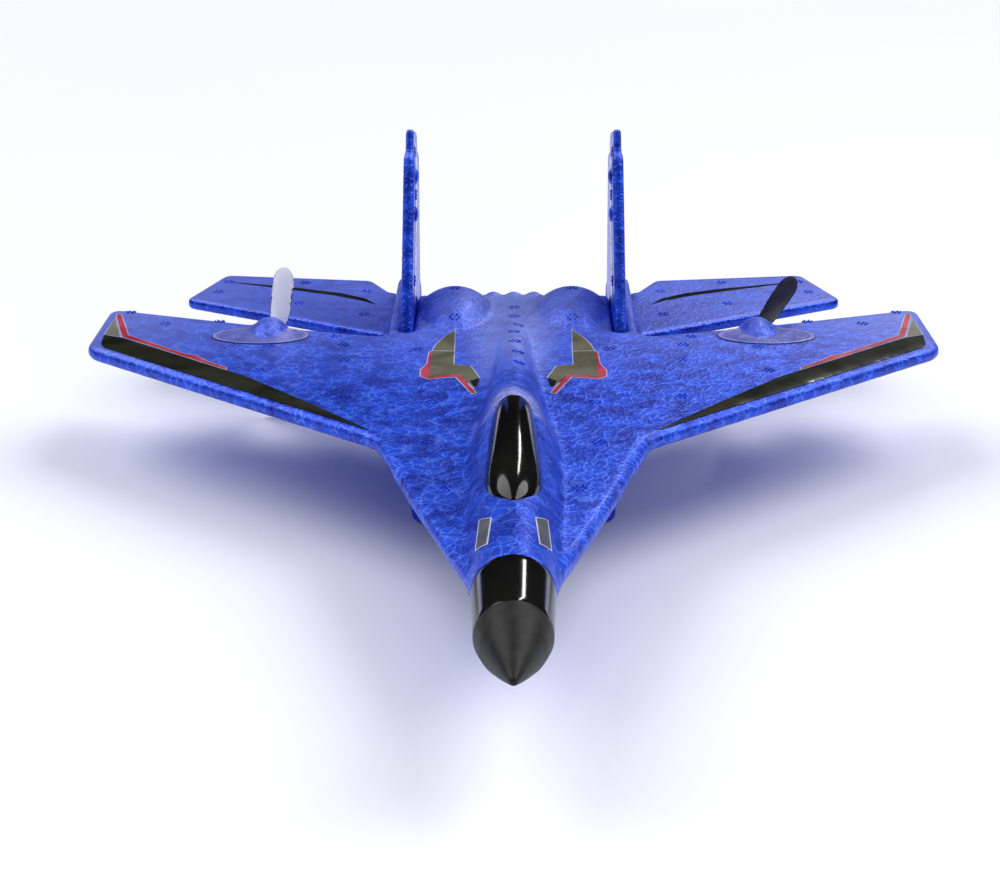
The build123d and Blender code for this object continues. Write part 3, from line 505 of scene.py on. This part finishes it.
def sticker(name, outline, skin, material, slotName, lift=0.12, cell=3.0, facing="Z", level=60.0):
    curve = bpy.data.curves.new(name, "CURVE")
    curve.dimensions = "2D"
    curve.fill_mode = "BOTH"
    spline = curve.splines.new("POLY")
    spline.points.add(len(outline) - 1)
    for point, (x, y) in zip(spline.points, outline):
        point.co = (x * mm, y * mm, 0.0, 1.0)
    spline.use_cyclic_u = True
    piece = bpy.data.objects.new(name, curve)
    bpy.context.scene.collection.objects.link(piece)
    chooseOnly(piece)
    bpy.ops.object.convert(target="MESH")
    piece = bpy.context.object
    edit(piece, (bpy.ops.mesh.remove_doubles, {"threshold": 1e-5}),
         (bpy.ops.mesh.dissolve_limited, {"angle_limit": math.radians(1.0)}))
    lows = [min(point[k] for point in outline) for k in (0, 1)]
    highs = [max(point[k] for point in outline) for k in (0, 1)]
    cuts = []
    for k in (0, 1):
        count = int((highs[k] - lows[k]) / cell)
        for index in range(1, count + 1):
            where = [0.0, 0.0, 0.0]
            where[k] = (lows[k] + (highs[k] - lows[k]) * index / (count + 1)) * mm
            across = [0.0, 0.0, 0.0]
            across[k] = 1.0
            cuts.append((where, across))
    for where, across in cuts:
        edit(piece, (bpy.ops.mesh.bisect, {"plane_co": where, "plane_no": across}))
    edit(piece, (bpy.ops.mesh.quads_convert_to_tris, {}))
    if facing == "Z":
        piece.location = (0.0, 0.0, level * mm)
    else:  # the outline is in Y and Z, and the sticker faces along X
        piece.rotation_euler = (math.radians(90.0), 0.0, math.radians(90.0))
        piece.location = (level * mm, 0.0, 0.0)
    chooseOnly(piece)
    bpy.ops.object.transform_apply(location=True, rotation=True, scale=True)
    modify(piece, "SHRINKWRAP", target=skin, wrap_method="PROJECT", wrap_mode="ABOVE_SURFACE", offset=lift * mm,
           use_project_z=facing == "Z", use_project_x=facing != "Z",
           use_positive_direction=True, use_negative_direction=True)
    modify(piece, "SOLIDIFY", thickness=0.06 * mm, offset=0.0)
    edit(piece, (bpy.ops.mesh.normals_make_consistent, {"inside": False}))
    bpy.ops.object.shade_smooth_by_angle(angle=math.radians(30.0))
    return settle(piece, "airframe", slotName, material)


stickerTints = {
    "olive": stickerPaint("olive black sticker", tint(0.010, 0.011, 0.007), tint(0.026, 0.028, 0.018), 0.12),
    "dark": stickerPaint("dark olive sticker", tint(0.085, 0.080, 0.050), tint(0.150, 0.142, 0.095), 0.14),
    "grey": stickerPaint("olive grey sticker", tint(0.13, 0.13, 0.09), tint(0.19, 0.19, 0.14), 0.2),
    "white": stickerPaint("white line", tint(0.30, 0.31, 0.52), tint(0.48, 0.48, 0.66), 0.24),
    "silver": stickerPaint("silver band", tint(0.42, 0.44, 0.56), tint(0.58, 0.59, 0.70), 0.22),
    "label": stickerPaint("bare grey label", tint(0.05, 0.055, 0.065), tint(0.11, 0.115, 0.13), 0.3),
    "red": stickerPaint("red stripe", tint(0.30, 0.018, 0.035), tint(0.44, 0.06, 0.085), 0.24),
    "black": stickerPaint("black stripe", tint(0.008, 0.008, 0.010), tint(0.016, 0.016, 0.018), 0.14),
}
wingSticker = {
    "band": [(40.6, -18.6), (84.0, 18.9), (131.0, 59.2), (132.6, 63.0), (133.4, 72.3), (127.4, 69.4),
             (108.0, 52.4), (88.6, 35.4), (82.0, 29.8), (62.0, 7.0)],
    "point": [(127.9, 70.5), (133.4, 73.3), (133.5, 90.6)],
    "stripe": [(89.0, 36.5), (108.2, 53.4), (127.2, 70.6), (133.1, 92.5), (133.7, 97.6), (132.0, 95.0),
               (125.6, 72.2), (112.0, 59.4), (103.5, 51.8), (100.5, 50.6), (96.0, 44.9), (89.2, 38.4)],
}
shoulderSticker = {
    "upper": [(19.2, 77.6), (18.9, 55.6), (25.7, 55.9), (24.6, 63.0), (22.2, 71.0)],
    "lower": [(18.9, 54.8), (18.7, 41.2), (13.4, 39.9), (10.6, 29.0), (12.0, 19.0), (16.6, 31.4), (21.0, 31.0),
              (25.6, 29.0), (26.0, 42.0), (25.8, 54.9)],
    "stripe": [(26.6, 54.6), (26.9, 42.0), (28.6, 36.0), (28.4, 30.0), (25.8, 27.2), (21.0, 28.8), (17.6, 29.2),
               (12.4, 13.4), (11.3, 14.4), (16.4, 30.9), (21.0, 30.6), (25.8, 28.6), (26.0, 42.0), (25.8, 54.4)],
    "nearBlack": [(10.4, 28.0), (13.2, 25.0), (11.9, 19.4), (11.0, 21.0)],
}
tailSticker = {"leaf": [(48.6, 128.6), (54.0, 133.6), (64.0, 140.0), (78.0, 146.6), (92.0, 152.6), (104.0, 157.6),
                        (91.0, 153.8), (76.0, 148.8), (62.0, 142.8), (53.0, 136.0)]}
noseSticker = {"label": [(6.4, -112.5), (8.8, -110.5), (8.2, -96.0), (5.6, -99.0)]}
finSticker = {"band": [(93.0, 42.0), (101.5, 42.0), (129.0, 88.5), (123.0, 88.5)],
              "squares": [[(110.0, 57.2), (113.5, 57.2), (115.9, 60.8), (112.4, 60.8)],
                          [(101.4, 47.0), (102.6, 47.0), (103.2, 48.0), (102.0, 48.0)],
                          [(103.6, 50.2), (104.8, 50.2), (105.4, 51.2), (104.2, 51.2)],
                          [(119.4, 72.6), (120.6, 72.6), (121.4, 74.0), (120.2, 74.0)]]}
lifts = {"rim": 0.10, "tail": 0.12, "face": 0.19, "top": 0.22, "corner": 0.26}  # how far each stands off the skin
rim = 0.35  # how much of the pale edge shows
fineCell, labelCell, bandCell, squareCell = 2.0, 1.6, 6.0, 4.0
finView = 25.0  # the fins' stickers are dropped on from this far out
body = skinned["foam_body"]
for side, name in ((-1.0, "left"), (1.0, "right")):
    turned = lambda outline: [(side * x, y) for x, y in outline]
    tail = skinned["foam_tailplane_" + name]
    fin = skinned["foam_fin_" + name]
    for part in ("point", "stripe"):
        sticker("wing_rim_" + part + "_" + name, turned(widened(wingSticker[part], rim)), body,
                stickerTints["white"], "foam", lifts["rim"])
    for part, tone in (("band", "olive"), ("point", "grey"), ("stripe", "red")):
        sticker("wing_" + part + "_" + name, turned(wingSticker[part]), body, stickerTints[tone], "foam",
                lifts["face"])
    for part, tone in (("upper", "dark"), ("lower", "dark"), ("stripe", "red")):
        sticker("shoulder_rim_" + part + "_" + name, turned(widened(shoulderSticker[part], rim)), body,
                stickerTints["white"], "foam", lifts["rim"], fineCell)
        sticker("shoulder_" + part + "_" + name, turned(shoulderSticker[part]), body, stickerTints[tone], "foam",
                lifts["face"], fineCell)
    sticker("shoulder_nearBlack_" + name, turned(shoulderSticker["nearBlack"]), body, stickerTints["black"], "foam",
            lifts["corner"], fineCell)
    sticker("tail_leaf_" + name, turned(tailSticker["leaf"]), tail, stickerTints["olive"], "fin_foam", lifts["tail"])
    sticker("nose_label_rim_" + name, turned(widened(noseSticker["label"], rim)), body, stickerTints["silver"],
            "foam", lifts["tail"], labelCell)
    sticker("nose_label_" + name, turned(noseSticker["label"]), body, stickerTints["label"], "foam", lifts["top"],
            labelCell)
    sticker("fin_band_" + name, finSticker["band"], fin, stickerTints["silver"], "fin_foam", lifts["tail"], bandCell,
            "X", side * finView)
    for index, square in enumerate(finSticker["squares"]):
        sticker("fin_square_" + name + str(index), square, fin, stickerTints["black"], "fin_foam", lifts["top"],
                squareCell, "X", side * finView)
    print("stickers", name)

# Camera low in front, a little above the nose
view = {"place": (0.0, -0.5514, 0.2302), "towards": (0.0, 0.938, -0.347), "lens": 72.0, "shift": -0.0135}
camera = bpy.data.objects.new("camera", bpy.data.cameras.new("camera"))
bpy.context.scene.collection.objects.link(camera)
camera.location = view["place"]
camera.rotation_euler = Vector(view["towards"]).to_track_quat("-Z", "Y").to_euler()
camera.data.lens = view["lens"]
camera.data.sensor_width = 36.0
camera.data.shift_x = view["shift"]
bpy.context.scene.camera = camera

# Pale floor and soft studio light
bpy.ops.mesh.primitive_plane_add(size=6.0, location=(0.0, 0.0, 0.0))
floor = bpy.context.object
floor.name = "floor"
floorPaint = Paint("pale floor")
mottle = floorPaint.grain(floorPaint.place(), 400.0, 2.0)
floor.data.materials.append(floorPaint.finish(
    colour=floorPaint.blend(mottle, tint(0.80, 0.81, 0.86), tint(0.84, 0.85, 0.89)), rough=0.6))
lights = [
    {"name": "right_softbox", "kind": "SUN", "place": (0.95, 0.45, 1.15), "aim": (0.0, 0.0, 0.0), "spread": 40.0,
     "power": 1.85, "tone": (1.0, 0.99, 0.98)},
    {"name": "left_softbox", "kind": "SUN", "place": (-0.95, 0.55, 1.15), "aim": (0.0, 0.0, 0.0), "spread": 46.0,
     "power": 1.65, "tone": (1.0, 1.0, 1.0)},
    {"name": "front_fill", "kind": "AREA", "place": (0.30, -1.10, 0.55), "aim": (0.0, 0.05, 0.04), "spread": 0.5,
     "power": 2.6, "tone": (1.0, 0.99, 0.97), "mirrored": False},
    {"name": "rear_strip", "kind": "AREA", "place": (0.42, 1.50, 1.20), "aim": (0.0, -0.06, 0.045), "spread": 0.10,
     "tall": 0.8, "power": 5.0, "tone": (1.0, 1.0, 1.0), "lit": False},
]
for lamp in lights:
    light = bpy.data.lights.new(lamp["name"], lamp["kind"])
    light.energy = lamp["power"]
    light.color = lamp["tone"]
    if lamp["kind"] == "SUN":
        light.angle = math.radians(lamp["spread"])
    else:
        light.shape = "RECTANGLE"
        light.size = lamp["spread"]
        light.size_y = lamp.get("tall", lamp["spread"])
    holder = bpy.data.objects.new(lamp["name"], light)
    bpy.context.scene.collection.objects.link(holder)
    holder.location = lamp["place"]
    holder.visible_glossy = lamp.get("mirrored", True)
    holder.visible_diffuse = lamp.get("lit", True)
    holder.rotation_euler = (Vector(lamp["aim"]) - Vector(lamp["place"])).to_track_quat("-Z", "Y").to_euler()
studio = bpy.data.worlds.new("studio")
studio.use_nodes = True
studio.node_tree.nodes["Background"].inputs["Color"].default_value = (0.80, 0.84, 1.0, 1.0)
studio.node_tree.nodes["Background"].inputs["Strength"].default_value = 0.55
studio.cycles_visibility.glossy = False
bpy.context.scene.world = studio
bpy.context.scene.view_settings.view_transform = "Standard"
print("studio set")
